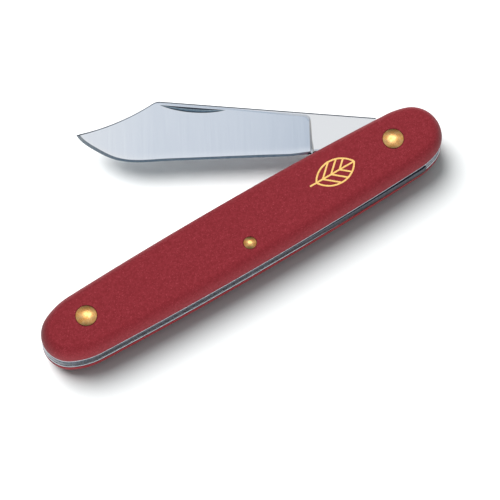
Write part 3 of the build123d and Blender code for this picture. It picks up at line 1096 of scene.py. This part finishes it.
def nick_wheel():
    """The part of the cutting wheel that sinks the nail nick: a flat side and a hollow rim."""
    slope, lean = radians(nick_slope), radians(spine_slope)
    depth = nick_depth / cos(slope)
    radius = ((nick_length / 2) ** 2 + depth ** 2) / (2 * depth)
    middle = corner_x / cos(lean) + spine_offset * tan(lean) - nick_from_corner - nick_length / 2
    line, away = spine_directions()
    place = line * middle + away * (spine_offset - nick_below_spine)
    axis = Vector((-away.x * cos(slope), -away.y * cos(slope), sin(slope)))
    down = Vector((-away.x * sin(slope), -away.y * sin(slope), -cos(slope)))
    along = Vector((line.x, line.y, 0))
    centre = Vector((place.x, place.y, half_blade)) + down * (depth - radius)
    rise, fall = nick_hollow
    profile = [(radius - wheel_above, 0.0)]
    steps = 10
    for i in range(steps + 1):
        out = wheel_width * i / steps
        profile.append((radius + rise * out - fall * out ** 2, out))
    profile.append((radius - wheel_above, wheel_width))
    bm = bmesh.new()
    reach = radians(wheel_reach)
    sections = []
    steps = 96
    for i in range(steps + 1):
        turn = mix(-reach, reach, i / steps)
        outward = down * cos(turn) + along * sin(turn)
        points = [centre + outward * r + axis * s for r, s in profile]
        sections.append(add_points(bm, [blade_place(p.x, p.y, p.z) for p in points]))
    skin(bm, sections)
    for section in (sections[0], sections[-1]):
        fill(bm, [section])
    return to_object(bm, "nick_wheel", [nick_steel])


def blade_piece():
    """The finished blade: the nick is cut, and edges between two finishes are kept crisp."""
    body = blade_body()
    wheel = nick_wheel()
    cut = body.modifiers.new("nick", "BOOLEAN")
    cut.operation = "DIFFERENCE"
    cut.solver = "EXACT"
    cut.object = wheel
    cut.material_mode = "TRANSFER"
    blade = baked(body, "ground_blade")
    crisp = bmesh.new()
    crisp.from_mesh(blade.data)
    for edge in crisp.edges:
        if len({face.material_index for face in edge.link_faces}) > 1:
            edge.smooth = False
    crisp.to_mesh(blade.data)
    crisp.free()
    bpy.data.objects.remove(wheel)
    settle(blade, "blade", ["blade"])


scale_piece("front_scale", True)
scale_piece("back_scale", False)
liner_piece("front_liner")
liner_piece("back_liner")
spring_piece()
rivet_heads()
leaf_piece()
blade_piece()
for node in ("pivot_pin", "centre_pin", "end_pin"):
    frame["nodes"][node].data.materials.clear()
    frame["nodes"][node].data.materials.append(brass)


# ------------------------------------------------ studio

# Directions are given by the camera: it looks from one side, and the light falls from the other.
camera_azimuth = -31.8
camera_elevation = 69.0
camera_distance = 700.0
camera_lens = 231.8
aim = Vector((-37.4, -1.6, 0.0))
lamps = (                    # azimuth, zenith, distance, radius, power, and what it falls on
    ("key", 17.0, 31.5, 1000.0, 460.0, 18.5, "INCLUDE", "floor"),   # casts the shadow
    ("side", camera_azimuth, 50.0, 1000.0, 300.0, 18.5, "EXCLUDE", "floor"),
    ("fill", camera_azimuth, -65.0, 800.0, 160.0, 9.9, "EXCLUDE", "floor"),
    ("shine", camera_azimuth, 20.0, 800.0, 250.0, 0.85, "INCLUDE", "rivet_heads"),
)
mirrored_lamp = "shine"      # the others are not mirrored
floor_size = 3000.0
floor_white = 0.85
reflected_stops = (          # the surroundings as metal mirrors them, from the camera's side
    (-1.0, (0.03, 0.03, 0.035)),
    (-0.62, (0.16, 0.19, 0.22)),
    (-0.36, (0.21, 0.25, 0.29)),
    (-0.22, (0.55, 0.56, 0.58)),
    (-0.05, (0.72, 0.73, 0.75)),
    (0.08, (0.60, 0.64, 0.70)),
    (0.13, (0.38, 0.48, 0.60)),
    (0.17, (0.52, 0.60, 0.70)),
    (0.20, (0.77, 0.81, 0.87)),
    (0.28, (0.86, 0.90, 0.95)),
    (0.36, (0.98, 0.98, 0.98)),
    (0.50, (0.92, 0.92, 0.92)),
    (0.68, (0.45, 0.46, 0.48)),
    (0.86, (0.22, 0.24, 0.26)),
    (1.0, (0.04, 0.05, 0.06)),
)
side_fall = (0.25, 0.8, 0.0, 0.75)   # how they turn to the left and right: from, to, shares
side_colour = "#9A938A"
ambient_stops = (            # the surroundings as they light the object and the floor
    (-1.0, (0.105, 0.145, 0.15)),
    (0.0, (0.24, 0.295, 0.30)),
    (0.5, (0.62, 0.65, 0.65)),
    (1.0, (0.30, 0.31, 0.31)),
)


def direction(azimuth, zenith):
    """Toward a point of the sky; azimuth 0 is the side away from a camera that looks along +Y."""
    a, z = radians(azimuth), radians(zenith)
    return Vector((-sin(a) * sin(z), cos(a) * sin(z), cos(z)))


def point_at(thing, place, target):
    thing.location = place * MM
    thing.rotation_euler = (target - place).to_track_quat("-Z", "Y").to_euler()


def sky(tree, share, stops):
    """A colour ramp across the surroundings."""
    ramp = add(tree, "ShaderNodeValToRGB", {"Fac": share})
    elements = ramp.color_ramp.elements
    while len(elements) < len(stops):
        elements.new(1.0)
    for element, (t, colour) in zip(elements, stops):
        element.position = (t + 1) / 2
        element.color = (*colour, 1.0)
    return ramp.outputs["Color"]


def lamp(name, azimuth, zenith, distance, radius, power):
    """A round soft light aimed at the object."""
    light = bpy.data.lights.new(name, "AREA")
    light.shape = "DISK"
    light.size = 2 * radius * MM
    light.energy = power
    thing = in_scene(name, light)
    thing.visible_glossy = name == mirrored_lamp
    point_at(thing, aim + direction(azimuth, zenith) * distance, aim)
    return thing


def light_only(light, thing, state):
    """Limits a light to one thing, or keeps it off that thing."""
    receivers = bpy.data.collections.new(light.name + "_receivers")
    receivers.objects.link(thing)
    receivers.collection_objects[0].light_linking.link_state = state
    light.light_linking.receiver_collection = receivers


def white_floor():
    """A wide sheet of white card that the object lies on."""
    half = floor_size / 2 * MM
    mesh = bpy.data.meshes.new("floor")
    corners = [(-half, -half), (half, -half), (half, half), (-half, half)]
    mesh.from_pydata([(x, y, floor_z) for x, y in corners], [], [(0, 1, 2, 3)])
    floor = in_scene("floor", mesh)
    material, tree, _ = new_material("white_card")
    white = (floor_white, floor_white, floor_white, 1.0)
    card = add(tree, "ShaderNodeBsdfDiffuse", {"Color": white})
    add(tree, "ShaderNodeOutputMaterial", {"Surface": card.outputs["BSDF"]})
    mesh.materials.append(material)


def facing(tree, place, toward):
    """How far a direction of the surroundings points toward another, from -1 to 1."""
    inputs = {0: place, 1: toward}
    return add(tree, "ShaderNodeVectorMath", inputs, operation="DOT_PRODUCT").outputs["Value"]


def surroundings():
    """The world: one ramp of grey as it lights things, and another as metal mirrors it."""
    world = bpy.data.worlds.new("studio")
    world.use_nodes = True
    bpy.context.scene.world = world
    tree = world.node_tree
    tree.nodes.clear()
    place = add(tree, "ShaderNodeTexCoord").outputs["Generated"]
    share = spread(tree, facing(tree, place, direction(camera_azimuth, 90)), -1, 1, 0, 1)
    ambient, mirrored = (sky(tree, share, stops) for stops in (ambient_stops, reflected_stops))
    aside = facing(tree, place, direction(camera_azimuth - 90, 90))
    distance = add(tree, "ShaderNodeMath", {0: aside}, operation="ABSOLUTE")
    fall = spread(tree, distance.outputs[0], *side_fall)
    mirrored = blend_colours(tree, fall, mirrored, side_colour)
    ray = add(tree, "ShaderNodeLightPath").outputs["Is Glossy Ray"]
    both = add(tree, "ShaderNodeMix", {"Factor": ray, 6: ambient, 7: mirrored}, data_type="RGBA")
    glow = add(tree, "ShaderNodeBackground", {"Color": both.outputs[2], "Strength": 1.0})
    add(tree, "ShaderNodeOutputWorld", {"Surface": glow.outputs["Background"]})


def studio():
    """The camera, the lights and what each of them falls on."""
    scene = bpy.context.scene
    scene.view_settings.view_transform = "Standard"
    backwards = direction(camera_azimuth, -(90 - camera_elevation))
    camera = in_scene("camera", bpy.data.cameras.new("camera"))
    camera.data.lens = camera_lens
    camera.data.clip_start = 0.05
    point_at(camera, aim + backwards * camera_distance, aim)
    scene.camera = camera
    white_floor()
    for *values, state, thing in lamps:
        light_only(lamp(*values), bpy.data.objects[thing], state)
    surroundings()


studio()
